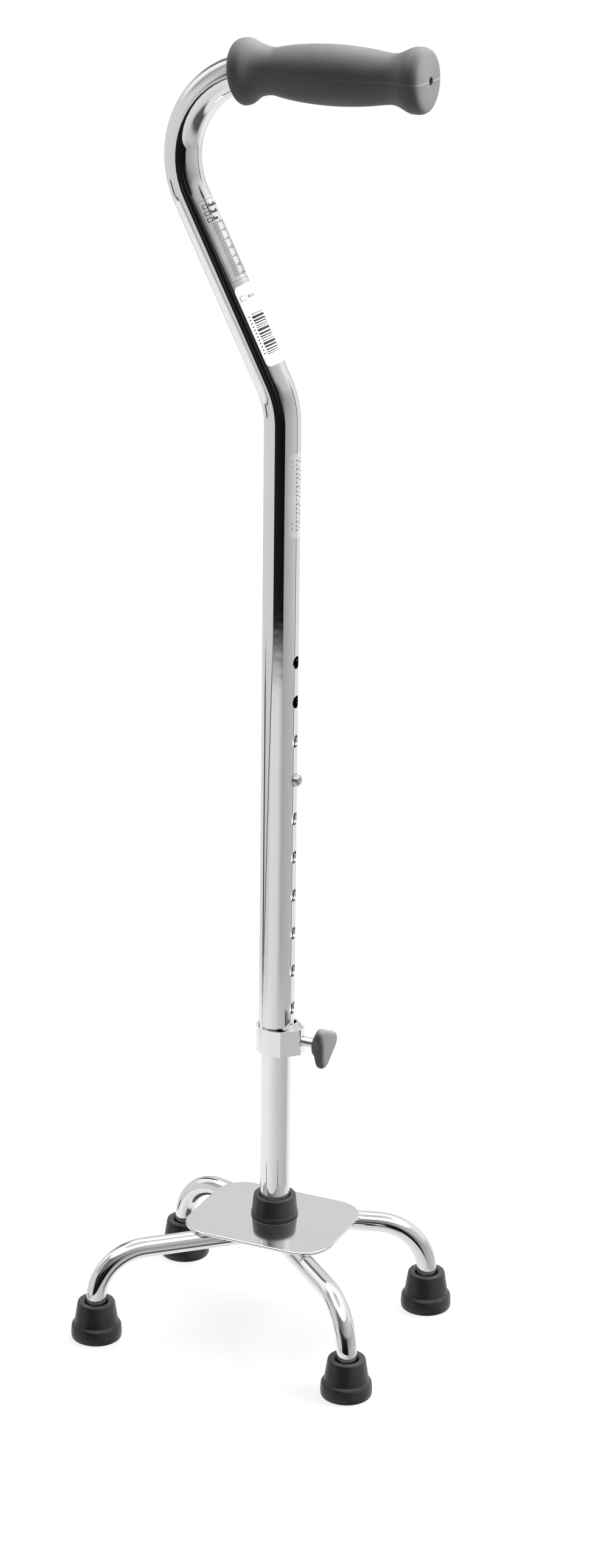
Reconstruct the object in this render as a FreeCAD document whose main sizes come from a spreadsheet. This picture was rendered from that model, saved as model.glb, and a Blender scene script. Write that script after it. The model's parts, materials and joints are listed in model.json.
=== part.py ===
"""Height-adjustable quad walking cane with an offset handle and a small four-footed base.

Frame: +X forward, the way the free end of the hand grip points; +Z up; +Y the user's side.
The origin is on the floor, in the middle of the four feet. Every length is in millimetres.
The stem, the handle and the clamp are drawn about the stem's own axis, so their objects
are placed at (stem_x, stem_y).
"""

import FreeCAD, Part
import math
import os
import Sketcher

Vector = FreeCAD.Vector

# alias, value, what it is
SIZES = [
    ("stem_x", 2.5, "stem axis behind the middle of the feet"),
    ("stem_y", 22.5, "stem axis towards the user's side"),
    ("foot_half_x", 87.0, "foot centre from the origin, fore and aft"),
    ("foot_half_y", 64.3, "foot centre from the origin, sideways"),
    ("upper_od", 22.2, "handle tube, outside diameter"),
    ("upper_wall", 1.2, "handle tube, wall"),
    ("lower_od", 19.05, "stem tube, outside diameter"),
    ("lower_wall", 1.2, "stem tube, wall"),
    ("leg_od", 12.7, "leg tube, outside diameter"),
    ("leg_wall", 1.2, "leg tube, wall"),
    ("upper_end_z", 182.5, "lower end of the handle tube"),
    ("neck_z", 600.7, "height where the vertical and the leaning run would meet"),
    ("lean", 26.95, "angle of the leaning run from vertical, in degrees"),
    ("handle_z", 796.9, "height of the grip's axis over the stem"),
    ("handle_tilt", 0.95, "rise of the grip's axis towards the front, in degrees"),
    ("tube_bend", 53.0, "bend radius of the handle tube at its axis"),
    ("handle_end_x", 79.0, "end of the handle tube inside the grip, ahead of the stem"),
    ("hole_dia", 7.95, "height holes and the button's hole"),
    ("hole_pitch", 25.4, "step between height holes"),
    ("hole_count", 10, "number of height holes"),
    ("first_hole_z", 211.8, "lowest height hole"),
    ("lower_top_z", 402.0, "top end of the stem tube"),
    ("lower_end_z", 51.6, "bottom end of the stem tube, level with the underside of the legs"),
    ("button_hole", 7, "height hole that the button stands in, counted from the lowest"),
    ("button_dia", 7.3, "snap button's head"),
    ("button_tip_x", 15.0, "top of the snap button's dome from the stem axis"),
    ("button_flange_dia", 10.2, "flange that stops the button inside the stem tube"),
    ("spring_width", 7.0, "leaf spring, width"),
    ("spring_gauge", 0.8, "leaf spring, thickness"),
    ("spring_length", 46.0, "leaf spring from the button's axis down to its fold"),
    ("grip_rear_x", 30.8, "grip's rear face behind the stem axis, along the grip"),
    ("grip_front_x", 91.4, "grip's closed end ahead of the stem axis, along the grip"),
    ("grip_rear_flange", 19.4, "radius of the rear flange"),
    ("grip_rear_neck", 13.8, "radius of the waist in front of the rear flange"),
    ("grip_belly", 17.35, "radius of the palm swell"),
    ("grip_front_neck", 14.6, "radius of the waist behind the front flange"),
    ("grip_front_flange", 19.05, "radius of the front flange"),
    ("vent_dia", 4.8, "vent hole in the grip's closed end"),
    ("clamp_radius", 12.65, "outside of the clamp band's round back"),
    ("clamp_gauge", 1.5, "clamp band, sheet thickness"),
    ("clamp_shoulder_x", 8.5, "where the band's straight sides turn in"),
    ("clamp_front_x", 18.2, "front face of the clamp band"),
    ("clamp_low_z", 181.7, "lower edge of the clamp band"),
    ("clamp_height", 17.0, "height of the clamp band"),
    ("block_height", 15.6, "threaded block, height"),
    ("screw_dia", 6.35, "clamp screw"),
    ("screw_z", 190.2, "height of the clamp screw"),
    ("screw_tip_x", 9.85, "tip of the clamp screw from the stem axis"),
    ("screw_end_x", 33.5, "end of the clamp screw inside the knob"),
    ("knob_rear_x", 27.3, "rear of the knob's hub"),
    ("knob_lobe_x", 29.3, "rear of the knob's lobes"),
    ("knob_front_x", 37.0, "front of the knob"),
    ("knob_hub_dia", 16.0, "knob's hub"),
    ("knob_reach", 15.6, "knob's lobes from the screw axis"),
    ("knob_lobe_radius", 4.6, "rounding of each lobe"),
    ("knob_turn", 5.0, "first lobe's angle from +Y, in degrees"),
    ("plate_length", 100.0, "base plate along X"),
    ("plate_width", 80.0, "base plate along Y"),
    ("plate_gauge", 2.0, "base plate thickness"),
    ("plate_top_z", 66.2, "top of the base plate"),
    ("plate_x", 1.2, "middle of the plate behind the origin"),
    ("plate_y", 16.6, "middle of the plate towards the user's side"),
    ("plate_corner", 20.0, "corner radius of the plate"),
    ("plate_edge", 0.7, "rounding of the plate's edges"),
    ("front_angle", 42.5, "front leg tube's runs from X, in degrees"),
    ("rear_angle", 17.0, "rear leg tube's runs from X, in degrees"),
    ("leg_plan_bend", 25.4, "leg tube's bend under the plate"),
    ("leg_drop_bend", 31.75, "leg tube's bend down to the foot"),
    ("sleeve_height", 14.0, "rubber sleeve round the stem"),
    ("sleeve_top_dia", 26.8, "rubber sleeve, top"),
    ("sleeve_low_dia", 30.2, "rubber sleeve, bottom"),
    ("tip_height", 25.0, "rubber tip"),
    ("tip_top_dia", 23.4, "rubber tip, top rim"),
    ("tip_cone_dia", 27.8, "rubber tip, foot of the cone"),
    ("tip_base_dia", 32.4, "rubber tip, widest band"),
    ("tip_band_z", 9.6, "top of the rubber tip's band"),
    ("tip_mouth_dia", 15.0, "mouth round the leg"),
    ("tip_mouth_depth", 4.0, "depth of that mouth"),
    ("tip_floor", 7.0, "rubber under the washer"),
    ("washer_gauge", 1.5, "steel washer in the tip"),
    ("label_gauge", 0.2, "stickers, thickness"),
    ("label_lift", 0.02, "adhesive gap under the stickers"),
    ("scale_start", 76.0, "scale sticker from the neck corner, along the leaning run"),
    ("scale_length", 53.0, "scale sticker, length"),
    ("stock_start", 23.2, "white sticker from the neck corner, along the leaning run"),
    ("stock_length", 50.5, "white sticker, length"),
    ("care_start_z", 520.0, "lower edge of the frosted sticker"),
    ("care_length", 52.0, "frosted sticker, length"),
    ("wide_wrap", 126.0, "how far the two upper stickers reach round the tube, in degrees"),
    ("narrow_wrap", 102.0, "how far the frosted sticker reaches round the tube, in degrees"),
]

doc = FreeCAD.newDocument("quad_cane")
sheet = doc.addObject("Spreadsheet::Sheet", "sizes")
for row, (alias, value, note) in enumerate(SIZES, start=1):
    sheet.set(f"A{row}", alias)
    sheet.set(f"B{row}", str(value))
    sheet.set(f"C{row}", note)
    sheet.setAlias(f"B{row}", alias)
doc.recompute()

sub_parts = []


# ---------------------------------------------------------------- helpers

def size(alias):
    """A driving dimension, read from the sheet."""
    return float(getattr(sheet, alias))


def place(item, x="0", y="0", z="0"):
    """Bind an object's place to expressions of the sheet."""
    for axis, expression in zip("xyz", (x, y, z)):
        item.setExpression(f"Placement.Base.{axis}", expression)


def on_stem(item, z="0"):
    place(item, "-sizes.stem_x", "sizes.stem_y", z)


def new_body(label):
    body = doc.addObject("PartDesign::Body", label)
    body.Label = label
    sub_parts.append(body)
    return body


def new_feature(label, shape):
    item = doc.addObject("Part::Feature", label)
    item.Label = label
    item.Shape = shape
    sub_parts.append(item)
    return item


def plane_of(body, role):
    return next(item for item in body.Origin.OriginFeatures if item.Role == role)


def new_sketch(body, name, role, offset=None):
    """A sketch on one of the body's origin planes, raised along its normal by an expression."""
    sketch = body.newObject("Sketcher::SketchObject", name)
    sketch.AttachmentSupport = [(plane_of(body, role), "")]
    sketch.MapMode = "FlatFace"
    if offset:
        sketch.setExpression("AttachmentOffset.Base.z", offset)
    return sketch


def bind(sketch, kind, targets, expression):
    """Add a dimension to a sketch and drive it from the sheet."""
    value = float(sketch.evalExpression(expression))
    index = sketch.addConstraint(Sketcher.Constraint(kind, *targets, value))
    sketch.setExpression(f"Constraints[{index}]", expression)


def pin_point(sketch, element, end, x, y):
    """Fix one end of an element from the sketch's origin."""
    bind(sketch, "DistanceX", (-1, 1, element, end), x)
    bind(sketch, "DistanceY", (-1, 1, element, end), y)


def add_circle(sketch, diameter, x="0", y="0"):
    centre = Vector(float(sketch.evalExpression(x)), float(sketch.evalExpression(y)), 0)
    radius = float(sketch.evalExpression(diameter)) / 2
    index = sketch.addGeometry(Part.Circle(centre, Vector(0, 0, 1), radius), False)
    pin_point(sketch, index, 3, x, y)
    bind(sketch, "Diameter", (index,), diameter)
    return index


def add_outline(sketch, corners):
    """A closed outline of straight runs through corners given as expressions."""
    points = [
        Vector(float(sketch.evalExpression(x)), float(sketch.evalExpression(y)), 0)
        for x, y in corners
    ]
    count = len(points)
    first = sketch.GeometryCount
    for index, start in enumerate(points):
        sketch.addGeometry(Part.LineSegment(start, points[(index + 1) % count]), False)
    for index, (x, y) in enumerate(corners):
        following = first + (index + 1) % count
        sketch.addConstraint(Sketcher.Constraint("Coincident", first + index, 2, following, 1))
        pin_point(sketch, first + index, 1, x, y)
    return first


def pad(body, sketch, length, symmetric=False):
    feature = body.newObject("PartDesign::Pad", f"{sketch.Name}_pad")
    feature.Profile = sketch
    feature.setExpression("Length", length)
    if symmetric:
        feature.SideType = "Symmetric"
    doc.recompute()
    return feature


def pocket(body, sketch, length):
    """Cut along the sketch's normal, and make sure that something was cut."""
    before = body.Shape.Volume
    feature = body.newObject("PartDesign::Pocket", f"{sketch.Name}_pocket")
    feature.Profile = sketch
    feature.setExpression("Length", length)
    feature.Reversed = True
    doc.recompute()
    if body.Shape.Volume >= before:
        raise RuntimeError(f"{feature.Name} cut nothing")
    return feature


def revolve(body, sketch, axis):
    feature = body.newObject("PartDesign::Revolution", f"{sketch.Name}_turned")
    feature.Profile = sketch
    feature.ReferenceAxis = (sketch, [axis])
    feature.Angle = 360
    doc.recompute()
    return feature


def dress(body, kind, wanted, amount):
    """Fillet or chamfer the edges of the body's tip that pass the test."""
    base = body.Tip
    names = [f"Edge{i}" for i, edge in enumerate(base.Shape.Edges, start=1) if wanted(edge)]
    feature = body.newObject(f"PartDesign::{kind}", f"{body.Name}_{kind.lower()}_{len(body.Group)}")
    feature.Base = (base, names)
    feature.setExpression("Radius" if kind == "Fillet" else "Size", amount)
    doc.recompute()
    return feature


def is_upright(edge):
    """Straight and parallel to Z."""
    return edge.Curve.TypeId == "Part::GeomLine" and abs(edge.Curve.Direction.z) > 0.999


def rounded_wire(corners, radii):
    """Straight runs through the corners, with a tangent arc of the given radius at each turn."""
    edges = []
    start = corners[0]
    for before, corner, after, radius in zip(corners, corners[1:], corners[2:], radii):
        back = (before - corner).normalize()
        ahead = (after - corner).normalize()
        half = back.getAngle(ahead) / 2
        inward = (back + ahead).normalize()
        entry = corner + back * (radius / math.tan(half))
        leave = corner + ahead * (radius / math.tan(half))
        middle = corner + inward * (radius / math.sin(half) - radius)
        edges.append(Part.LineSegment(start, entry).toShape())
        edges.append(Part.Arc(entry, middle, leave).toShape())
        start = leave
    edges.append(Part.LineSegment(start, corners[-1]).toShape())
    return Part.Wire(edges)


def swept_rod(path, radius):
    """A round rod along a wire, checked against its section times its length."""
    start = path.Edges[0].Curve.value(path.Edges[0].FirstParameter)
    heading = path.Edges[0].tangentAt(path.Edges[0].FirstParameter)
    section = Part.Wire(Part.Circle(start, heading, radius).toShape())
    rod = path.makePipeShell([section], True, False)
    expected = math.pi * radius ** 2 * path.Length
    if abs(rod.Volume - expected) > 0.01 * expected:
        raise RuntimeError("a swept rod has the wrong volume")
    return rod


# ---------------------------------------------------------------- handle

def handle_corners():
    """The handle tube's axis in the stem's XZ plane: bottom, neck corner, rear corner, end."""
    lean = math.radians(size("lean"))
    slope = math.tan(math.radians(size("handle_tilt")))
    rise = size("handle_z") - size("neck_z")
    run = rise / (math.cos(lean) + slope * math.sin(lean))
    return [
        Vector(0, 0, size("upper_end_z")),
        Vector(0, 0, size("neck_z")),
        Vector(-run * math.sin(lean), 0, size("neck_z") + run * math.cos(lean)),
        Vector(size("handle_end_x"), 0, size("handle_z") + size("handle_end_x") * slope),
    ]


def draw_handle_path(sketch):
    """Three straight runs joined by two bends, fully driven by the sheet."""
    wire = rounded_wire(handle_corners(), [size("tube_bend")] * 2)
    for edge in wire.Edges:
        ends = [Vector(v.Point.x, v.Point.z, 0) for v in edge.Vertexes]
        first = edge.valueAt(edge.FirstParameter)
        if (Vector(first.x, first.z, 0) - ends[0]).Length > 1e-6:
            ends.reverse()
        if edge.Curve.TypeId == "Part::GeomLine":
            sketch.addGeometry(Part.LineSegment(*ends), False)
            continue
        middle = edge.valueAt((edge.FirstParameter + edge.LastParameter) / 2)
        sketch.addGeometry(Part.Arc(ends[0], Vector(middle.x, middle.z, 0), ends[1]), False)
    low_run, neck, leaning_run, crook, top_run = range(5)
    for bend, before, after in ((neck, low_run, leaning_run), (crook, leaning_run, top_run)):
        bend_start = sketch.getPoint(bend, 1)
        run_end = sketch.getPoint(before, 2)
        near, far = (1, 2) if (bend_start - run_end).Length < 1e-6 else (2, 1)
        sketch.addConstraint(Sketcher.Constraint("Tangent", before, 2, bend, near))
        sketch.addConstraint(Sketcher.Constraint("Tangent", bend, far, after, 1))
        bind(sketch, "Radius", (bend,), "sizes.tube_bend")
    sketch.addConstraint(Sketcher.Constraint("Vertical", low_run))
    pin_point(sketch, low_run, 1, "0", "sizes.upper_end_z")
    bind(sketch, "DistanceY", (-1, 1, low_run, 2),
         "sizes.neck_z - sizes.tube_bend * tan(sizes.lean / 2 * 1 deg)")
    bind(sketch, "DistanceY", (-1, 1, leaning_run, 1),
         "sizes.neck_z + sizes.tube_bend * tan(sizes.lean / 2 * 1 deg) * cos(sizes.lean * 1 deg)")
    sine, cosine = "sin(sizes.lean * 1 deg)", "cos(sizes.lean * 1 deg)"
    slope = "tan(sizes.handle_tilt * 1 deg)"
    bind(sketch, "DistanceX", (-1, 1, top_run, 1),
         f"(sizes.neck_z - sizes.handle_z) * {sine} / ({cosine} + {slope} * {sine})"
         " + sizes.tube_bend * tan((90 + sizes.lean - sizes.handle_tilt) / 2 * 1 deg)"
         " * cos(sizes.handle_tilt * 1 deg)")
    pin_point(sketch, top_run, 2, "sizes.handle_end_x",
              f"sizes.handle_z + sizes.handle_end_x * {slope}")


def make_upper_tube():
    body = new_body("upper_tube")
    on_stem(body)
    path = new_sketch(body, "handle_path", "XZ_Plane")
    draw_handle_path(path)
    section = new_sketch(body, "handle_section", "XY_Plane", "sizes.upper_end_z")
    add_circle(section, "sizes.upper_od")
    add_circle(section, "sizes.upper_od - 2 * sizes.upper_wall")
    pipe = body.newObject("PartDesign::AdditivePipe", "handle_pipe")
    pipe.Profile = section
    pipe.Spine = path
    doc.recompute()
    screw_hole = new_sketch(body, "screw_entry", "YZ_Plane")
    add_circle(screw_hole, "sizes.screw_dia + 0.9", "0", "sizes.screw_z")
    pocket(body, screw_hole, "sizes.upper_od")
    height_hole = new_sketch(body, "height_hole", "YZ_Plane")
    add_circle(height_hole, "sizes.hole_dia", "0", "sizes.first_hole_z")
    cut = pocket(body, height_hole, "sizes.upper_od")
    row_of_holes = body.newObject("PartDesign::LinearPattern", "height_holes")
    row_of_holes.Originals = [cut]
    row_of_holes.Direction = (height_hole, ["V_Axis"])
    row_of_holes.setExpression("Length", "sizes.hole_pitch * (sizes.hole_count - 1)")
    row_of_holes.setExpression("Occurrences", "sizes.hole_count")
    body.Tip = row_of_holes
    doc.recompute()


def grip_stations():
    """Round sections along the grip: place along its axis from over the stem, radius."""
    rear = -size("grip_rear_x")
    front = size("grip_front_x")
    rear_flange = size("grip_rear_flange")
    rear_neck = size("grip_rear_neck")
    belly = size("grip_belly")
    front_neck = size("grip_front_neck")
    front_flange = size("grip_front_flange")
    stations = [
        (rear, rear_flange - 4.4),
        (rear + 0.4, rear_flange - 2.5),
        (rear + 1.5, rear_flange - 1.0),
        (rear + 3.2, rear_flange - 0.2),
        (rear + 5.2, rear_flange),
        (rear + 7.8, rear_flange - 0.25),
        (rear + 10.3, rear_flange - 1.4),
        (rear + 12.8, rear_flange - 2.85),
        (rear + 15.3, rear_flange - 4.05),
        (rear + 18.3, rear_neck + 0.6),
        (rear + 21.3, rear_neck + 0.05),
        (rear + 23.8, rear_neck),
    ]
    swell_start = rear + 26.8
    swell_end = front - 26.9
    for step in range(10):
        share = step / 9
        along = swell_start + (swell_end - swell_start) * share
        ends = rear_neck + (front_neck - rear_neck) * share
        stations.append((along, ends + 0.25 + (belly - ends) * math.sin(math.pi * share) ** 0.9))
    stations += [
        (front - 23.4, front_neck - 0.1),
        (front - 20.4, front_neck + 0.45),
        (front - 17.4, front_neck + 1.3),
        (front - 13.9, front_flange - 1.15),
        (front - 10.4, front_flange - 0.15),
        (front - 7.9, front_flange),
        (front - 5.4, front_flange - 0.35),
        (front - 3.6, front_flange - 1.5),
        (front - 2.2, front_flange - 3.5),
        (front - 1.1, front_flange - 6.8),
        (front - 0.4, front_flange - 11.0),
        (front, 3.5),
    ]
    return stations


def make_grip():
    """Soft grip: flanged at both ends, waisted, closed in front, its rear following the crook."""
    corners = handle_corners()
    bend = size("tube_bend")
    ahead = (corners[3] - corners[2]).normalize()
    upward = Vector(-ahead.z, 0, ahead.x)
    over_stem = Vector(0, 0, size("handle_z"))
    turn = math.radians(90 + size("lean") - size("handle_tilt"))
    bend_start = bend * math.tan(turn / 2) - (over_stem - corners[2]).Length
    rings = []
    for along, radius in grip_stations():
        beyond = math.asin(max(0.0, bend_start - along) / bend)
        centre = over_stem + ahead * along - upward * (bend - bend * math.cos(beyond))
        heading = ahead * math.cos(beyond / 2) + upward * math.sin(beyond / 2)
        rings.append(Part.Wire(Part.Circle(centre, heading, radius).toShape()))
    outside = Part.makeLoft(rings, True, False)
    tube_end = corners[3]
    path = rounded_wire([*corners[1:3], tube_end + ahead * 0.5], [bend])
    bore = swept_rod(path, size("upper_od") / 2 + 0.05)
    vent = Part.makeCylinder(size("vent_dia") / 2, 30, tube_end, ahead)
    grip = new_feature("grip", outside.cut(bore).cut(vent))
    on_stem(grip)


# ---------------------------------------------------------------- clamp

def make_clamp_band():
    """A folded strip: round back, straight sides, two faces turned in to a narrow front."""
    body = new_body("clamp_band")
    on_stem(body)
    outline = new_sketch(body, "band_outline", "XY_Plane", "sizes.clamp_low_z")
    draw_band_loop(outline, "0")
    draw_band_loop(outline, "sizes.clamp_gauge")
    pad(body, outline, "sizes.clamp_height")
    hole = new_sketch(body, "band_hole", "YZ_Plane")
    add_circle(hole, "sizes.screw_dia + 0.6", "0", "sizes.screw_z")
    pocket(body, hole, "sizes.clamp_front_x + 5")


def draw_band_loop(sketch, inset):
    """One loop of the band's plan, moved in by the inset. The faces turn in at 45 degrees."""
    radius = f"(sizes.clamp_radius - {inset})"
    shoulder = f"(sizes.clamp_shoulder_x - {inset} * tan(22.5 deg))"
    front = f"(sizes.clamp_front_x - {inset})"
    half_front = f"({radius} - ({front} - {shoulder}))"
    corners = [
        ("0", radius),
        (shoulder, radius),
        (front, half_front),
        (front, f"-{half_front}"),
        (shoulder, f"-{radius}"),
        ("0", f"-{radius}"),
    ]
    points = [
        Vector(float(sketch.evalExpression(x)), float(sketch.evalExpression(y)), 0)
        for x, y in corners
    ]
    first = sketch.GeometryCount
    for start, end in zip(points, points[1:]):
        sketch.addGeometry(Part.LineSegment(start, end), False)
    back = Vector(-float(sketch.evalExpression(radius)), 0, 0)
    arc = sketch.addGeometry(Part.Arc(points[0], back, points[-1]), False)
    last = arc - 1
    for element in range(first, last):
        sketch.addConstraint(Sketcher.Constraint("Coincident", element, 2, element + 1, 1))
    for index, (x, y) in enumerate(corners[:-1]):
        pin_point(sketch, first + index, 1, x, y)
    near, far = (1, 2) if (sketch.getPoint(arc, 1) - points[0]).Length < 1e-6 else (2, 1)
    sketch.addConstraint(Sketcher.Constraint("Coincident", arc, 3, -1, 1))
    sketch.addConstraint(Sketcher.Constraint("Coincident", arc, near, first, 1))
    sketch.addConstraint(Sketcher.Constraint("Coincident", arc, far, last, 2))
    sketch.addConstraint(Sketcher.Constraint("PointOnObject", last, 2, -2))


def make_clamp_nut():
    """Threaded block that fills the band's front and saddles the handle tube."""
    body = new_body("clamp_nut")
    on_stem(body)
    outline = new_sketch(body, "block_outline", "XY_Plane", "sizes.screw_z - sizes.block_height / 2")
    inset = "(sizes.clamp_gauge + 0.1)"
    front = f"(sizes.clamp_front_x - {inset})"
    shoulder = f"(sizes.clamp_shoulder_x - {inset} * tan(22.5 deg))"
    half_front = f"(sizes.clamp_radius - {inset} - ({front} - {shoulder}))"
    half_rear = f"({half_front} + {front} - 9.5)"
    add_outline(outline, [
        ("9.5", f"-{half_rear}"),
        (front, f"-{half_front}"),
        (front, half_front),
        ("9.5", half_rear),
    ])
    pad(body, outline, "sizes.block_height")
    saddle = new_sketch(body, "block_saddle", "XY_Plane", "sizes.screw_z - sizes.block_height")
    add_circle(saddle, "sizes.upper_od + 0.2")
    pocket(body, saddle, "2 * sizes.block_height")
    bore = new_sketch(body, "block_bore", "YZ_Plane")
    add_circle(bore, "sizes.screw_dia + 0.15", "0", "sizes.screw_z")
    pocket(body, bore, "sizes.clamp_front_x + 5")


def make_screw_shank():
    body = new_body("screw_shank")
    on_stem(body, "sizes.screw_z")
    section = new_sketch(body, "screw_section", "YZ_Plane", "sizes.screw_tip_x")
    add_circle(section, "sizes.screw_dia")
    pad(body, section, "sizes.screw_end_x - sizes.screw_tip_x")
    dress(body, "Chamfer", lambda edge: edge.Closed, "0.6")


def make_knob():
    """Three-lobed thumb knob: a round hub that widens into the lobes."""
    body = new_body("knob")
    on_stem(body, "sizes.screw_z")
    section = new_sketch(body, "knob_hub", "YZ_Plane", "sizes.knob_rear_x")
    add_circle(section, "sizes.knob_hub_dia")
    pad(body, section, "sizes.knob_lobe_x - sizes.knob_rear_x + 1")
    lobes = new_sketch(body, "knob_lobes", "YZ_Plane", "sizes.knob_lobe_x")
    tip = "(sizes.knob_reach + sizes.knob_lobe_radius)"
    add_outline(lobes, [
        (f"{tip} * cos((sizes.knob_turn + {turn}) * 1 deg)",
         f"{tip} * sin((sizes.knob_turn + {turn}) * 1 deg)")
        for turn in (0, 120, 240)
    ])
    pad(body, lobes, "sizes.knob_front_x - sizes.knob_lobe_x")
    reach = size("knob_reach") + size("knob_lobe_radius")

    def is_corner(edge):
        middle = edge.CenterOfMass
        along = edge.Curve.TypeId == "Part::GeomLine" and abs(edge.Curve.Direction.x) > 0.999
        return along and math.hypot(middle.y, middle.z) > reach - 0.1

    dress(body, "Fillet", is_corner, "sizes.knob_lobe_radius")
    front = size("knob_front_x")
    dress(body, "Fillet", lambda edge: all(abs(v.X - front) < 1e-4 for v in edge.Vertexes), "1.5")
    bore = new_sketch(body, "knob_bore", "YZ_Plane")
    add_circle(bore, "sizes.screw_dia + 0.1")
    pocket(body, bore, "sizes.screw_end_x + 0.3")


# ---------------------------------------------------------------- stem

def make_lower_tube():
    body = new_body("lower_tube")
    on_stem(body)
    section = new_sketch(body, "stem_section", "XY_Plane", "sizes.lower_end_z")
    add_circle(section, "sizes.lower_od")
    add_circle(section, "sizes.lower_od - 2 * sizes.lower_wall")
    pad(body, section, "sizes.lower_top_z - sizes.lower_end_z")
    hole = new_sketch(body, "button_hole_sketch", "YZ_Plane")
    add_circle(hole, "sizes.hole_dia", "0", BUTTON_Z)
    pocket(body, hole, "sizes.lower_od")


def make_snap_button():
    """Domed button with a flange that keeps it inside the stem tube."""
    body = new_body("snap_button")
    on_stem(body, BUTTON_Z)
    profile = new_sketch(body, "button_profile", "XZ_Plane")
    flange_front = "6.5"
    flange_rear = "5.4"
    dome_start = "(sizes.button_tip_x - sizes.button_dia / 2 * 0.55)"
    add_outline(profile, [
        (flange_rear, "0"),
        (flange_rear, "sizes.button_flange_dia / 2"),
        (flange_front, "sizes.button_flange_dia / 2"),
        (flange_front, "sizes.button_dia / 2"),
        (dome_start, "sizes.button_dia / 2"),
        ("sizes.button_tip_x", "sizes.button_dia / 2"),
        ("sizes.button_tip_x", "0"),
    ])
    revolve(body, profile, "H_Axis")
    tip = size("button_tip_x")
    dress(body, "Fillet",
          lambda edge: edge.Closed and abs(edge.CenterOfMass.x - tip) < 1e-4,
          "sizes.button_dia * 0.42")


def make_button_spring():
    """V-shaped leaf: one leg behind the button, the fold below, the other leg on the rear wall."""
    body = new_body("button_spring")
    on_stem(body, BUTTON_Z)
    strip = new_sketch(body, "spring_strip", "XZ_Plane")
    gauge = "sizes.spring_gauge"
    fold = "sizes.spring_length"
    add_outline(strip, [
        ("5.2", "7"),
        ("5.2", "-8"),
        (f"{gauge} * 0.6", f"-{fold}"),
        (f"-{gauge} * 1.6", f"-{fold}"),
        ("-7.4", "-8"),
        ("-7.4", "12"),
        (f"-7.4 + {gauge}", "12"),
        (f"-7.4 + {gauge}", "-8"),
        (f"-{gauge} * 0.5", f"-{fold} + 1.4"),
        (f"5.2 - {gauge}", "-8"),
        (f"5.2 - {gauge}", "7"),
    ])
    pad(body, strip, "sizes.spring_width", symmetric=True)


# ---------------------------------------------------------------- base

def make_stem_sleeve():
    body = new_body("stem_sleeve")
    on_stem(body, "sizes.plate_top_z")
    profile = new_sketch(body, "sleeve_profile", "XZ_Plane")
    bore = "(sizes.lower_od / 2 + 0.03)"
    add_outline(profile, [
        (bore, "0.05"),
        ("sizes.sleeve_low_dia / 2 - 0.6", "0.05"),
        ("sizes.sleeve_low_dia / 2", "0.8"),
        ("sizes.sleeve_low_dia / 2 - 0.1", "2.2"),
        ("sizes.sleeve_top_dia / 2", "sizes.sleeve_height - 1"),
        ("sizes.sleeve_top_dia / 2 - 1", "sizes.sleeve_height"),
        (f"{bore} + 1.2", "sizes.sleeve_height"),
        (bore, "sizes.sleeve_height - 3"),
    ])
    revolve(body, profile, "V_Axis")


def make_base_plate():
    body = new_body("base_plate")
    place(body, "-sizes.plate_x", "sizes.plate_y", "sizes.plate_top_z - sizes.plate_gauge")
    outline = new_sketch(body, "plate_outline", "XY_Plane")
    length = "sizes.plate_length / 2"
    width = "sizes.plate_width / 2"
    add_outline(outline, [
        (f"-{length}", f"-{width}"),
        (length, f"-{width}"),
        (length, width),
        (f"-{length}", width),
    ])
    pad(body, outline, "sizes.plate_gauge")
    dress(body, "Fillet", is_upright, "sizes.plate_corner")
    dress(body, "Fillet", lambda edge: not is_upright(edge), "sizes.plate_edge")
    hole = new_sketch(body, "plate_hole", "XY_Plane")
    add_circle(hole, "sizes.lower_od + 0.06", "sizes.plate_x - sizes.stem_x",
               "sizes.stem_y - sizes.plate_y")
    pocket(body, hole, "sizes.plate_gauge")


def make_leg_tube(label, side, angle):
    """One bent tube from the rear foot to the front foot of one side, passing under the plate."""
    foot_x = size("foot_half_x")
    foot_y = side * size("foot_half_y")
    run_z = size("plate_top_z") - size("plate_gauge") - size("leg_od") / 2
    end_z = size("tip_floor") + size("washer_gauge")
    apex_y = foot_y - side * foot_x * math.tan(math.radians(angle))
    corners = [
        Vector(-foot_x, foot_y, end_z),
        Vector(-foot_x, foot_y, run_z),
        Vector(0, apex_y, run_z),
        Vector(foot_x, foot_y, run_z),
        Vector(foot_x, foot_y, end_z),
    ]
    drop = size("leg_drop_bend")
    path = rounded_wire(corners, [drop, size("leg_plan_bend"), drop])
    outside = swept_rod(path, size("leg_od") / 2)
    inside = swept_rod(path, size("leg_od") / 2 - size("leg_wall"))
    new_feature(label, outside.cut(inside))


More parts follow.
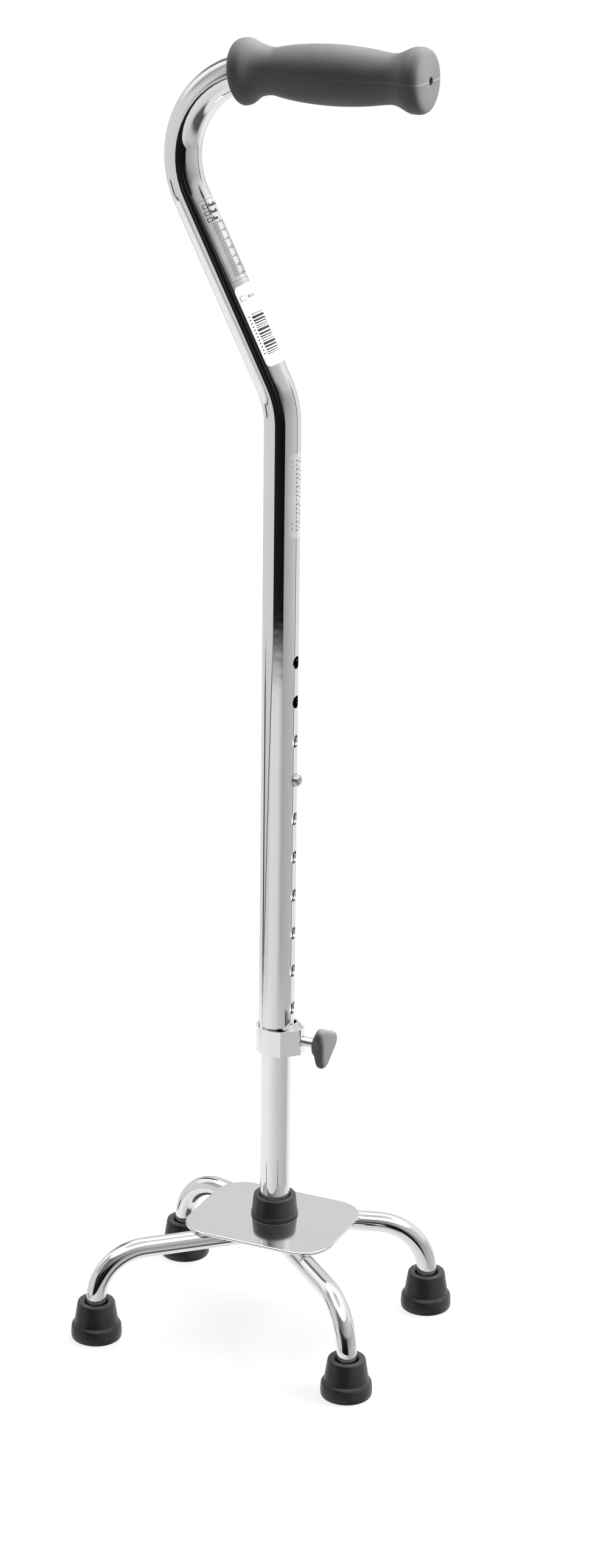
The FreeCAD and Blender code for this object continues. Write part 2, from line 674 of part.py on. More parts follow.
def make_tip(label, x, y):
    """Rubber tip: a recessed mouth round the leg, a cone and a wider ribbed band."""
    body = new_body(label)
    place(body, x, y)
    profile = new_sketch(body, f"{label}_profile", "XZ_Plane")
    bore = "(sizes.leg_od / 2 + 0.03)"
    base = "sizes.tip_base_dia / 2"
    washer = "(sizes.leg_od / 2 + 1.6)"
    add_outline(profile, [
        ("0", "0.6"),
        ("4", "0.6"),
        ("5", "0"),
        ("7.5", "0"),
        ("8.2", "0.8"),
        ("9.2", "0.8"),
        ("10", "0"),
        (f"{base} - 0.7", "0"),
        (f"{base} - 0.2", "0.7"),
        (base, "4"),
        (f"{base} - 0.5", "sizes.tip_band_z - 1"),
        (f"{base} - 1.3", "sizes.tip_band_z"),
        ("sizes.tip_cone_dia / 2", "sizes.tip_band_z + 1"),
        ("sizes.tip_top_dia / 2", "sizes.tip_height - 0.7"),
        ("sizes.tip_top_dia / 2 - 0.7", "sizes.tip_height"),
        ("sizes.tip_mouth_dia / 2", "sizes.tip_height"),
        ("sizes.tip_mouth_dia / 2 - 0.2", "sizes.tip_height - sizes.tip_mouth_depth"),
        (bore, "sizes.tip_height - sizes.tip_mouth_depth - 0.5"),
        (bore, "sizes.tip_floor + sizes.washer_gauge + 0.05"),
        (washer, "sizes.tip_floor + sizes.washer_gauge + 0.05"),
        (washer, "sizes.tip_floor"),
        ("0", "sizes.tip_floor"),
    ])
    revolve(body, profile, "V_Axis")


def make_washer(label, x, y):
    body = new_body(label)
    place(body, x, y, "sizes.tip_floor")
    ring = new_sketch(body, f"{label}_ring", "XY_Plane")
    add_circle(ring, "sizes.leg_od + 3")
    add_circle(ring, "5")
    pad(body, ring, "sizes.washer_gauge - 0.05")


# ---------------------------------------------------------------- stickers

def make_sticker(label, start, length, wrap, leaning):
    """A thin sheet wrapped round the front of the handle tube."""
    outer = doc.addObject("Part::Cylinder", f"{label}_outer")
    outer.setExpression("Radius", "sizes.upper_od / 2 + sizes.label_lift + sizes.label_gauge")
    outer.setExpression("Angle", wrap)
    inner = doc.addObject("Part::Cylinder", f"{label}_inner")
    inner.setExpression("Radius", "sizes.upper_od / 2 + sizes.label_lift")
    for cylinder in (outer, inner):
        cylinder.setExpression("Height", length)
    turn = FreeCAD.Rotation(Vector(0, 0, 1), -size("narrow_wrap" if not leaning else "wide_wrap") / 2)
    outer.Placement = FreeCAD.Placement(Vector(), turn)
    sticker = doc.addObject("Part::Cut", label)
    sticker.Label = label
    sticker.Base = outer
    sticker.Tool = inner
    sub_parts.append(sticker)
    if not leaning:
        on_stem(sticker, start)
        return
    sticker.Placement = FreeCAD.Placement(
        Vector(), FreeCAD.Rotation(Vector(0, 1, 0), -size("lean")))
    place(sticker, f"-sizes.stem_x - {start} * sin(sizes.lean * 1 deg)", "sizes.stem_y",
          f"sizes.neck_z + {start} * cos(sizes.lean * 1 deg)")


# ---------------------------------------------------------------- assembly

BUTTON_Z = "(sizes.first_hole_z + sizes.hole_pitch * (sizes.button_hole - 1))"
CORNERS = {
    "front_right": ("sizes.foot_half_x", "-sizes.foot_half_y"),
    "front_left": ("sizes.foot_half_x", "sizes.foot_half_y"),
    "rear_right": ("-sizes.foot_half_x", "-sizes.foot_half_y"),
    "rear_left": ("-sizes.foot_half_x", "sizes.foot_half_y"),
}

make_upper_tube()
make_grip()
make_clamp_band()
make_clamp_nut()
make_screw_shank()
make_knob()
make_lower_tube()
make_snap_button()
make_button_spring()
make_stem_sleeve()
make_base_plate()
make_leg_tube("right_leg_tube", -1, size("front_angle"))
make_leg_tube("left_leg_tube", 1, size("rear_angle"))
for corner, (corner_x, corner_y) in CORNERS.items():
    make_tip(f"tip_{corner}", corner_x, corner_y)
    make_washer(f"washer_{corner}", corner_x, corner_y)
make_sticker("scale_label", "sizes.scale_start", "sizes.scale_length", "sizes.wide_wrap", True)
make_sticker("stock_label", "sizes.stock_start", "sizes.stock_length", "sizes.wide_wrap", True)
make_sticker("care_label", "sizes.care_start_z", "sizes.care_length", "sizes.narrow_wrap", False)
doc.recompute()

for item in doc.Objects:
    if "Invalid" in item.State or "Error" in item.State:
        raise RuntimeError(f"{item.Name} failed: {item.State}")
for item in sub_parts:
    if item.Shape.isNull() or not item.Shape.isValid():
        raise RuntimeError(f"{item.Label} has no valid shape")

os.makedirs("parts", exist_ok=True)
for item in sub_parts:
    item.Shape.exportStep(f"parts/{item.Label}.step")
    box = item.Shape.BoundBox
    print(f"{item.Label:20s} solids {len(item.Shape.Solids)} volume {item.Shape.Volume:10.1f}"
          f"  x {box.XMin:7.1f} {box.XMax:7.1f}  y {box.YMin:7.1f} {box.YMax:7.1f}"
          f"  z {box.ZMin:7.1f} {box.ZMax:7.1f}")
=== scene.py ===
"""Looks of the quad walking cane: studio, camera, finishes and the detailed pieces."""

import json
import math

import bmesh
import bpy
from mathutils import Matrix, Quaternion, Vector


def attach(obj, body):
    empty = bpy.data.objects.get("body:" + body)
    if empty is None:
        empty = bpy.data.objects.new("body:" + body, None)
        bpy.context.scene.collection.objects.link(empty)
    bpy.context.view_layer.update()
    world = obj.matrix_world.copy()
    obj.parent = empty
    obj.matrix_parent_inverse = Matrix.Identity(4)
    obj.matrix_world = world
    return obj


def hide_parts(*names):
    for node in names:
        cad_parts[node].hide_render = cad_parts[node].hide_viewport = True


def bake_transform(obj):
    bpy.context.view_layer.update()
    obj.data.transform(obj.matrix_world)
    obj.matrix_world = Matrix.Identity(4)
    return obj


MM = 0.001

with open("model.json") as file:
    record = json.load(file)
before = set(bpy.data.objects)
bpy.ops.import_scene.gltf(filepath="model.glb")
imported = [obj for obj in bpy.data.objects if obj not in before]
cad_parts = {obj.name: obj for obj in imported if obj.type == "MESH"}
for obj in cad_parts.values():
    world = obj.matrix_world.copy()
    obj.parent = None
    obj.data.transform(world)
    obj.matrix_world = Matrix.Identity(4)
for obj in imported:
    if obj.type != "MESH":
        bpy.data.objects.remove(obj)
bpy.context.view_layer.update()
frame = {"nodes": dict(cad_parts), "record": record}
nodes = frame["nodes"]

# ---------------------------------------------------------------- places, in the CAD frame

# The stem's foot, the neck where the handle tube starts to lean, and its lean towards the back.
STEM = Vector((-0.0025, 0.0225, 0.0))
NECK = Vector((-0.0025, 0.0225, 0.6007))
LEAN = math.radians(26.95)
TUBE_R = 11.1 * MM
GRIP_Z = 0.7969
GRIP_SLOPE = math.tan(math.radians(0.95))
SCREW_Z = 0.1902
BUTTON_Z = 0.3642
FEET = {
    "front_right": Vector((0.087, -0.0643, 0)),
    "front_left": Vector((0.087, 0.0643, 0)),
    "rear_right": Vector((-0.087, -0.0643, 0)),
    "rear_left": Vector((-0.087, 0.0643, 0)),
}


# ---------------------------------------------------------------- node helpers

class Graph:
    """A few short calls for building a node tree."""

    def __init__(self, tree):
        self.tree = tree
        tree.nodes.clear()

    def add(self, kind, inputs=None, **settings):
        node = self.tree.nodes.new(kind)
        for key, value in settings.items():
            setattr(node, key, value)
        for key, value in (inputs or {}).items():
            self.put(node.inputs[key], value)
        return node

    def put(self, socket, value):
        if isinstance(value, bpy.types.NodeSocket):
            self.tree.links.new(value, socket)
        else:
            socket.default_value = value

    def math(self, operation, *values):
        node = self.add("ShaderNodeMath", operation=operation)
        for index, value in enumerate(values):
            self.put(node.inputs[index], value)
        return node.outputs[0]

    def spread(self, value, low, high, to_low=0.0, to_high=1.0):
        """Eases a value from to_low to to_high while it goes from low to high."""
        node = self.add("ShaderNodeMapRange", {"Value": value, "From Min": low, "From Max": high,
                                               "To Min": to_low, "To Max": to_high})
        node.interpolation_type = "SMOOTHSTEP"
        return node.outputs["Result"]

    def mix_colour(self, factor, a, b):
        node = self.add("ShaderNodeMix", data_type="RGBA")
        for index, value in ((0, factor), (6, a), (7, b)):
            self.put(node.inputs[index], value)
        return node.outputs[2]

    def ramp(self, value, stops):
        """A grey ramp. Stops are (place, brightness)."""
        node = self.add("ShaderNodeValToRGB", {"Fac": value})
        points = node.color_ramp.elements
        while len(points) < len(stops):
            points.new(0.5)
        for point, (place, level) in zip(points, stops):
            point.position = place
            point.color = (level, level, level, 1)
        return node.outputs["Color"]

    def noise(self, coords, scale, detail=2.0, rough=0.5):
        node = self.add("ShaderNodeTexNoise", {"Vector": coords, "Scale": scale, "Detail": detail,
                                               "Roughness": rough})
        return node.outputs["Fac"]

    def stretched(self, coords, x, y, z):
        node = self.add("ShaderNodeMapping", {"Vector": coords, "Scale": (x, y, z)})
        return node.outputs["Vector"]

    def bump(self, height, strength, distance, normal=None):
        inputs = {"Height": height, "Strength": strength, "Distance": distance}
        if normal is not None:
            inputs["Normal"] = normal
        return self.add("ShaderNodeBump", inputs).outputs["Normal"]


def grey(level, tint=0.0):
    return (level, level, level * (1 + tint), 1)


def new_material(name):
    """Makes a Principled material. Returns it, its graph, its shader and the object coordinates."""
    material = bpy.data.materials.new(name)
    material.use_nodes = True
    graph = Graph(material.node_tree)
    shader = graph.add("ShaderNodeBsdfPrincipled")
    output = graph.add("ShaderNodeOutputMaterial")
    graph.put(output.inputs["Surface"], shader.outputs[0])
    coords = graph.add("ShaderNodeTexCoord").outputs["Object"]
    return material, graph, shader, coords


def metal(name, level, rough, smear, grain=None, tint=0.01):
    """Plated or polished metal: faint haze, specks and handling marks, and perhaps a fine grain."""
    material, g, shader, coords = new_material(name)
    haze = g.noise(coords, 38, 3, 0.6)
    specks = g.spread(g.noise(coords, 900, 2, 0.4), 0.70, 0.78)
    marks = g.spread(g.noise(g.stretched(coords, 700, 700, 40), 1.0, 2, 0.7), 0.60, 0.75)
    shader.inputs["Metallic"].default_value = 1.0
    colour = g.mix_colour(g.math("MULTIPLY", specks, 0.25), grey(level, tint),
                          grey(level * 0.62, tint))
    colour = g.mix_colour(g.math("MULTIPLY", g.spread(haze, 0.35, 0.75), 0.10), colour,
                          grey(level * 0.85))
    g.put(shader.inputs["Base Color"], colour)
    roughness = g.math("ADD", rough, g.math("MULTIPLY", haze, smear))
    roughness = g.math("ADD", roughness, g.math("MULTIPLY", marks, smear * 0.8))
    g.put(shader.inputs["Roughness"], roughness)
    normal = g.bump(g.noise(coords, 60, 2, 0.5), 0.10, 0.25 * MM)
    if grain:
        lines = g.noise(g.stretched(coords, *grain), 1.0, 3, 0.6)
        normal = g.bump(lines, 0.22, 0.06 * MM, normal)
    g.put(shader.inputs["Normal"], normal)
    return material


def moulded(name, level, rough, pebble, depth, mottle, line=None):
    """Rubber or plastic: slight mottling, a fine pebbled skin, dusting on the high spots."""
    material, g, shader, coords = new_material(name)
    clouds = g.noise(coords, 45, 4, 0.6)
    fine = g.noise(coords, pebble, 3, 0.55)
    colour = g.mix_colour(g.spread(clouds, 0.3, 0.7), grey(level * (1 - mottle), 0.02),
                          grey(level * (1 + mottle), 0.01))
    colour = g.mix_colour(g.math("MULTIPLY", g.spread(fine, 0.55, 0.8), 0.35), colour,
                          grey(level * 1.5))
    normal = g.bump(fine, 0.35, depth * MM)
    if line:
        colour, normal = line(g, coords, colour, normal)
    g.put(shader.inputs["Base Color"], colour)
    g.put(shader.inputs["Roughness"], g.math("ADD", rough, g.math("MULTIPLY", fine, 0.14)))
    g.put(shader.inputs["Normal"], normal)
    return material


def parting_line_and_highlight(g, coords, colour, normal):
    """The mould's parting line: a hair-fine raised ridge at half height of the grip, with a painted
    highlight along it that grows stronger towards the lit front end.
    """
    x, y, z = g.add("ShaderNodeSeparateXYZ", {"Vector": coords}).outputs
    axis = g.math("ADD", g.math("MULTIPLY", x, GRIP_SLOPE), GRIP_Z - STEM.x * GRIP_SLOPE)
    away = g.math("ABSOLUTE", g.math("SUBTRACT", z, axis))
    ridge = g.spread(away, 0.30 * MM, 0.05 * MM)
    off_centre = g.math("ABSOLUTE", g.math("SUBTRACT", y, STEM.y))
    clear_of_vent = g.spread(off_centre, 2.6 * MM, 3.2 * MM)
    ridge = g.math("MULTIPLY", ridge, clear_of_vent)
    # painted highlight: the ridge's colour is lightened, more strongly towards the front end where
    # the side light falls
    forward = g.spread(x, 0.01, 0.085, 0.04, 0.30)
    colour = g.mix_colour(g.math("MULTIPLY", ridge, forward), colour, grey(0.5))
    return colour, g.bump(ridge, 0.25, 0.08 * MM, normal)


# ---------------------------------------------------------------- mesh helpers

SMOOTH_ANGLE = 35.0


def mesh_piece(name, mesh, body, material, smooth_angle=SMOOTH_ANGLE):
    """Makes a smooth-shaded piece. It rides on the body, unless the body is None."""
    piece = bpy.data.objects.new(name, mesh)
    bpy.context.scene.collection.objects.link(piece)
    mesh.materials.append(material)
    for polygon in mesh.polygons:
        polygon.use_smooth = True
    mesh.set_sharp_from_angle(angle=math.radians(smooth_angle))
    if body:
        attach(piece, body)
    return piece


def rounded(profile, radius, steps=5, closed=False):
    """Rounds the corners of a profile of (r, z) points."""
    points = [Vector((r, z)) for r, z in profile]
    made = []
    count = len(points)
    for index, corner in enumerate(points):
        ends = index in (0, count - 1) and not closed
        if ends or corner.x < 1e-9:
            made.append(corner)
            continue
        before = points[index - 1] - corner
        after = points[(index + 1) % count] - corner
        reach = min(radius, before.length * 0.45, after.length * 0.45)
        start = corner + before.normalized() * reach
        end = corner + after.normalized() * reach
        for step in range(steps + 1):
            t = step / steps
            made.append(start * (1 - t) ** 2 + corner * 2 * t * (1 - t) + end * t ** 2)
    return made


def lathe(profile, place, segments=96, closed=True):
    """Turns a profile of (r, z) points about Z, and moves it by the matrix."""
    work = bmesh.new()
    rings = []
    for point in profile:
        if point[0] < 1e-9:
            rings.append([work.verts.new((0, 0, point[1]))])
            continue
        rings.append([
            work.verts.new((point[0] * math.cos(a), point[0] * math.sin(a), point[1]))
            for a in (2 * math.pi * s / segments for s in range(segments))
        ])
    pairs = list(zip(rings, rings[1:]))
    if closed:
        pairs.append((rings[-1], rings[0]))
    for low, high in pairs:
        for s in range(segments):
            quad = [low[s % len(low)], low[(s + 1) % len(low)],
                    high[(s + 1) % len(high)], high[s % len(high)]]
            corners = list(dict.fromkeys(quad))
            if len(corners) > 2:
                work.faces.new(corners)
    bmesh.ops.recalc_face_normals(work, faces=work.faces)
    work.transform(place)
    mesh = bpy.data.meshes.new("turned")
    work.to_mesh(mesh)
    work.free()
    return mesh


def at(point):
    return Matrix.Translation(point)


def smooth_line(points, steps):
    """A smooth line through points, each a tuple of numbers, with the steps between neighbours."""
    made = []
    last = len(points) - 1
    for index in range(last):
        four = [Vector(points[min(max(index + k, 0), last)]) for k in (-1, 0, 1, 2)]
        p0, p1, p2, p3 = four
        for step in range(steps):
            t = step / steps
            made.append(0.5 * (2 * p1 + (p2 - p0) * t + (2 * p0 - 5 * p1 + 4 * p2 - p3) * t ** 2
                               + (3 * p1 - p0 - 3 * p2 + p3) * t ** 3))
    made.append(Vector(points[last]))
    return made


# ---------------------------------------------------------------- finishes

chrome = metal("chrome_tube", 0.94, rough=0.018, smear=0.02)
clamp_chrome = metal("chrome_clamp", 0.95, rough=0.04, smear=0.03)
plate_metal = metal("plated_plate", 0.90, rough=0.085, smear=0.03, grain=(2600, 260, 2600))
zinc = metal("zinc_screw", 0.72, rough=0.22, smear=0.08, grain=(1200, 1200, 1200))
button_metal = metal("steel_button", 0.62, rough=0.30, smear=0.06)
spring_metal = metal("spring_steel", 0.45, rough=0.25, smear=0.08)
washer_metal = metal("washer_steel", 0.55, rough=0.30, smear=0.08)
rubber = moulded("black_rubber", 0.016, 0.27, pebble=1500, depth=0.04, mottle=0.30)
vinyl = moulded("grey_vinyl", 0.095, 0.46, pebble=1300, depth=0.06, mottle=0.10,
                line=parting_line_and_highlight)
knob_plastic = moulded("knob_plastic", 0.118, 0.40, pebble=2400, depth=0.02, mottle=0.06)

FINISHES = {
    "tube_chrome": chrome,
    "clamp_plated": clamp_chrome,
    "screw_plated": zinc,
    "knob_plastic": knob_plastic,
    "grip_vinyl": vinyl,
    "button_steel": button_metal,
    "spring_steel": spring_metal,
    "plate_plated": plate_metal,
    "rubber_black": rubber,
    "washer_steel": washer_metal,
}
slot_of = {entry["node"]: entry["material_slot"] for entry in frame["record"]["subparts"]}
for name, item in nodes.items():
    finish = FINISHES.get(slot_of[name])
    if finish is None:
        continue
    item.data.materials.clear()
    item.data.materials.append(finish)


# ---------------------------------------------------------------- rubber tips and sleeve

# Outlines as (radius, height) in millimetres, from the underside of each piece.
TIP = [
    (0.0, 0.6), (4.2, 0.6), (5.0, 0.05), (7.4, 0.05), (8.2, 0.8), (9.4, 0.8), (10.2, 0.05),
    (15.4, 0.05), (16.0, 0.8), (16.2, 4.0), (15.8, 8.6), (15.1, 9.7), (13.95, 10.9),
    (13.3, 15.0), (12.0, 23.6), (11.5, 25.0), (8.2, 25.0), (7.3, 24.2), (7.3, 21.2), (6.42, 20.6),
    (6.42, 8.6), (0.0, 8.6),
]
SLEEVE_Z = 66.2 * MM
SLEEVE = [
    (9.6, 0.08), (14.7, 0.08), (15.1, 0.6), (15.05, 1.7), (14.65, 2.1), (13.55, 13.3),
    (13.0, 13.95), (10.5, 13.95), (9.85, 13.2), (9.6, 11.8),
]


def make_rubber():
    """Four stepped tips with a hollow foot, and the tapered sleeve at the foot of the stem."""
    for corner, foot in FEET.items():
        profile = rounded([(r * MM, z * MM) for r, z in TIP], 0.55 * MM)
        mesh = lathe(profile, at(foot), closed=False)
        tip = mesh_piece(f"rubber_tip_{corner}", mesh, "base", rubber, 60)
        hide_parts(f"tip_{corner}")
    profile = rounded([(r * MM, z * MM) for r, z in SLEEVE], 0.35 * MM, closed=True)
    mesh = lathe(profile, at(STEM + Vector((0, 0, SLEEVE_Z))))
    sleeve = mesh_piece("rubber_sleeve", mesh, "base", rubber, 60)
    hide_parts("stem_sleeve")


make_rubber()


# ---------------------------------------------------------------- grip

# The grip as (place along its axis, radius) in millimetres, from above the stem, and its bore.
GRIP = [
    (-30.8, 12.9), (-30.75, 14.4), (-30.2, 16.3), (-29.0, 18.1), (-27.3, 19.15), (-25.4, 19.4),
    (-23.4, 19.25), (-21.6, 18.65), (-19.6, 17.5), (-17.4, 16.2), (-14.9, 15.1), (-12.0, 14.3),
    (-9.0, 13.85), (-6.5, 13.85), (-3.5, 14.4), (0.5, 15.2), (6.0, 16.05), (12.0, 16.7),
    (20.0, 17.3), (30.0, 17.6), (40.0, 17.35), (48.0, 16.8), (55.0, 16.05), (61.0, 15.2),
    (65.0, 14.7), (68.0, 14.6), (70.5, 15.0), (73.0, 15.8), (75.5, 17.0), (78.0, 18.2),
    (80.5, 18.95), (83.0, 19.1),
    (85.2, 19.0), (87.0, 18.5), (88.4, 17.6), (89.3, 16.3), (89.8, 14.6), (90.2, 11.0), (90.4, 6.0),
    (90.4, 3.0), (90.0, 2.45),
]
GRIP_BORE_R = 11.15
GRIP_BORE_END = 79.6
GRIP_BACK = -30.8
GRIP_INSIDE = [(80.0, 2.4), (GRIP_BORE_END, GRIP_BORE_R)]
CROOK_RADIUS = 53 * MM


def grip_ring(work, along, radius, segments=112):
    """A round section of the grip. The grip's axis is straight, and bends down with the crook."""
    bend = CROOK_RADIUS
    tilt = math.atan(GRIP_SLOPE)
    over_stem = Vector((STEM.x, STEM.y, GRIP_Z))
    ahead = Vector((math.cos(tilt), 0, math.sin(tilt)))
    upward = Vector((-math.sin(tilt), 0, math.cos(tilt)))
    run = (GRIP_Z - NECK.z) / (math.cos(LEAN) + GRIP_SLOPE * math.sin(LEAN))
    corner = NECK + Vector((-run * math.sin(LEAN), 0, run * math.cos(LEAN)))
    bend_start = bend * math.tan((math.pi / 2 + LEAN - tilt) / 2) - (over_stem - corner).length
    beyond = math.asin(max(0.0, bend_start - along) / bend)
    centre = over_stem + ahead * along - upward * (bend - bend * math.cos(beyond))
    outward = upward * math.cos(beyond / 2) - ahead * math.sin(beyond / 2)
    return [
        work.verts.new(centre + (outward * math.cos(a) + Vector((0, math.sin(a), 0))) * radius)
        for a in (2 * math.pi * s / segments for s in range(segments))
    ]


def make_grip():
    """Soft grip with flanged ends, a crowned palm swell, a nearly flat front and a small vent."""
    work = bmesh.new()
    stations = [(x * MM, r * MM) for x, r in smooth_line(GRIP, 3)]
    stations += [(x * MM, r * MM) for x, r in GRIP_INSIDE]
    back = 12
    for step in range(1, back + 1):
        along = GRIP_BORE_END - (GRIP_BORE_END - GRIP_BACK) * (step / back)
        stations.append((along * MM, GRIP_BORE_R * MM))
    rings = [grip_ring(work, along, radius) for along, radius in stations]
    rings.append(rings[0])
    for low, high in zip(rings, rings[1:]):
        for s in range(len(low)):
            t = (s + 1) % len(low)
            work.faces.new((low[s], low[t], high[t], high[s]))
    bmesh.ops.recalc_face_normals(work, faces=work.faces)
    mesh = bpy.data.meshes.new("grip_cover")
    work.to_mesh(mesh)
    work.free()
    cover = mesh_piece("grip_cover", mesh, "handle", vinyl, 50)
    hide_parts("grip")


make_grip()


# ---------------------------------------------------------------- thumb knob

# The knob as (distance in front of the stem, radius, share of the lobes' height), in millimetres.
KNOB = [
    (27.35, 6.6, 0.0), (27.5, 7.3, 0.0), (27.9, 7.75, 0.02), (28.5, 7.95, 0.08), (29.1, 8.6, 0.25),
    (29.9, 9.8, 0.6), (30.7, 10.9, 0.86), (31.6, 11.5, 0.97), (32.8, 11.75, 1.0), (34.2, 11.7, 1.0),
    (35.2, 11.4, 0.97), (35.9, 10.9, 0.94), (36.4, 10.2, 0.90), (36.7, 9.3, 0.85),
    (36.85, 8.0, 0.8), (36.95, 6.0, 0.7), (37.0, 3.0, 0.5),
]
KNOB_BORE_R = 3.225
KNOB_BORE_ENDS = (27.35, 33.8)
KNOB_WIDEST_R = 11.75
KNOB_LOBE_TURN = math.radians(5)


def make_knob():
    """Three soft lobes that grow out of a round hub, with a slightly crowned face."""
    segments = 144
    work = bmesh.new()
    rings = []
    for x, radius, lobed in KNOB:
        ring = []
        for s in range(segments):
            angle = 2 * math.pi * s / segments
            wave = math.cos(3 * (angle - KNOB_LOBE_TURN))
            swell = 2.55 * wave + 0.75 * wave * wave - 0.2
            r = radius + lobed * swell * radius / KNOB_WIDEST_R
            point = (x * MM, r * math.cos(angle) * MM, r * math.sin(angle) * MM)
            ring.append(work.verts.new(point))
        rings.append(ring)
    for low, high in zip(rings, rings[1:]):
        for s in range(segments):
            t = (s + 1) % segments
            work.faces.new((low[s], low[t], high[t], high[s]))
    work.faces.new(rings[-1])
    bore = [
        [work.verts.new((x * MM, KNOB_BORE_R * math.cos(a) * MM, KNOB_BORE_R * math.sin(a) * MM))
         for a in (2 * math.pi * s / segments for s in range(segments))]
        for x in KNOB_BORE_ENDS
    ]
    for s in range(segments):
        t = (s + 1) % segments
        work.faces.new((rings[0][s], bore[0][s], bore[0][t], rings[0][t]))
        work.faces.new((bore[0][s], bore[1][s], bore[1][t], bore[0][t]))
    work.faces.new(bore[1])
    bmesh.ops.recalc_face_normals(work, faces=work.faces)
    work.transform(at(STEM + Vector((0, 0, SCREW_Z))))
    mesh = bpy.data.meshes.new("knob_head")
    work.to_mesh(mesh)
    work.free()
    knob = mesh_piece("knob_head", mesh, "thumb_knob", knob_plastic, 50)
    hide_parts("knob")


make_knob()


# ---------------------------------------------------------------- snap button

def make_button():
    """A domed pin with a flange, pointing forward out of the stem."""
    profile = [(0.0, 5.45), (5.0, 5.45), (5.0, 6.4), (3.65, 6.4), (3.65, 12.6), (3.45, 13.5),
               (2.9, 14.25), (2.0, 14.75), (1.0, 14.95), (0.0, 15.0)]
    turn = Matrix.Rotation(math.pi / 2, 4, "Y")
    mesh = lathe([(r * MM, z * MM) for r, z in profile],
                 at(STEM + Vector((0, 0, BUTTON_Z))) @ turn, 64, closed=False)
    button = mesh_piece("button_head", mesh, "button", button_metal, 40)
    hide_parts("snap_button")


SPRING_HALF_WIDTH = 3.5 * MM
SPRING_HALF_THICK = 0.4


def spring_leg(name, body, points):
    """A flat spring strip along points of (x, z) in millimetres from the button's centre."""
    line = smooth_line([(x * MM, 0.0, z * MM) for x, z in points], 6)
    centre = STEM + Vector((0, 0, BUTTON_Z))
    half_width = Vector((0, SPRING_HALF_WIDTH, 0))
    last = len(line) - 1
    work = bmesh.new()
    rings = []
    for index, point in enumerate(line):
        along = (line[min(index + 1, last)] - line[max(index - 1, 0)]).normalized()
        out = Vector((along.z, 0, -along.x)) * SPRING_HALF_THICK * MM
        corners = (out + half_width, out - half_width, -out - half_width, half_width - out)
        rings.append([work.verts.new(centre + point + corner) for corner in corners])
    for low, high in zip(rings, rings[1:]):
        for s in range(4):
            work.faces.new((low[s], low[(s + 1) % 4], high[(s + 1) % 4], high[s]))
    work.faces.new(rings[0])
    work.faces.new(rings[-1])
    bmesh.ops.recalc_face_normals(work, faces=work.faces)
    mesh = bpy.data.meshes.new(name)
    work.to_mesh(mesh)
    work.free()
    return mesh_piece(name, mesh, body, spring_metal)


def make_spring():
    """Leaf spring in the stem: the rear leg rides on the base, and the front leg is a fixed strip
    on no body.
    """
    rear = spring_leg("spring_rear_leg", "base",
                      [(0.1, -45.4), (-0.6, -45.5), (-1.4, -42), (-6.3, -13), (-7.0, -7),
                       (-7.0, 12)])
    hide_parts("button_spring")
    front = spring_leg("spring_front_leg", None,
                       [(0.05, -45.2), (0.7, -42), (4.2, -13), (4.7, -7), (4.75, 7)])
    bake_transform(front)


make_button()
make_spring()


# ---------------------------------------------------------------- stickers

FILM_THICK = 0.14 * MM
FILM_LIFT = 0.20 * MM
INK_THICK = 0.015 * MM
INK_LIFT = 0.22 * MM
MARK_STEP = 0.8 * MM
SCALE_START = 76.0 * MM
STOCK_START = 23.2 * MM
CARE_START = 520 * MM


def print_material(name, level, rough, alpha=None):
    """Sticker film or ink, with a fine fibre. With an alpha it is see-through by that share."""
    material, g, shader, coords = new_material(name)
    fibre = g.noise(coords, 1400, 3, 0.6)
    clouds = g.noise(coords, 60, 2, 0.5)
    g.put(shader.inputs["Base Color"],
          g.mix_colour(g.spread(clouds, 0.3, 0.7), grey(level * 0.97), grey(min(1, level * 1.02))))
    g.put(shader.inputs["Roughness"], g.math("ADD", rough, g.math("MULTIPLY", fibre, 0.1)))
    g.put(shader.inputs["Normal"], g.bump(fibre, 0.15, 0.02 * MM))
    if alpha is not None:
        g.put(shader.inputs["Alpha"], g.spread(clouds, 0.2, 0.8, alpha - 0.04, alpha + 0.04))
    return material


white_film = print_material("white_film", 0.90, 0.34)
clear_film = print_material("clear_film", 0.70, 0.10, alpha=0.03)
frost_film = print_material("frosted_film", 0.50, 0.50, alpha=0.17)
ink = print_material("black_ink", 0.015, 0.45)
faint_ink = print_material("faint_ink", 0.10, 0.45, alpha=0.75)


class Wrap:
    """A surface round the tube: u goes round from the front, v runs up the tube, both in metres."""

    def __init__(self, start, leaning, lift):
        self.base = NECK if leaning else Vector((STEM.x, STEM.y, 0))
        self.up = Vector((-math.sin(LEAN), 0, math.cos(LEAN))) if leaning else Vector((0, 0, 1))
        self.out = Vector((math.cos(LEAN), 0, math.sin(LEAN))) if leaning else Vector((1, 0, 0))
        self.start = start
        self.radius = TUBE_R + lift

    def point(self, u, v):
        angle = u / self.radius
        side = Vector((0, 1, 0))
        outward = self.out * math.cos(angle) + side * math.sin(angle)
        return self.base + self.up * (self.start + v) + outward * self.radius


def evaluated_mesh(item):
    """The mesh that an object's modifiers, or a text's outlines, come to."""
    seen = item.evaluated_get(bpy.context.evaluated_depsgraph_get())
    return bpy.data.meshes.new_from_object(seen)


def thicken(piece, thickness):
    """Gives a sheet real thickness, inwards from the face that shows."""
    solid = piece.modifiers.new("thickness", "SOLIDIFY")
    solid.thickness = thickness
    solid.offset = -1
    made = evaluated_mesh(piece)
    piece.modifiers.clear()
    piece.data = made
    made.set_sharp_from_angle(angle=math.radians(SMOOTH_ANGLE))


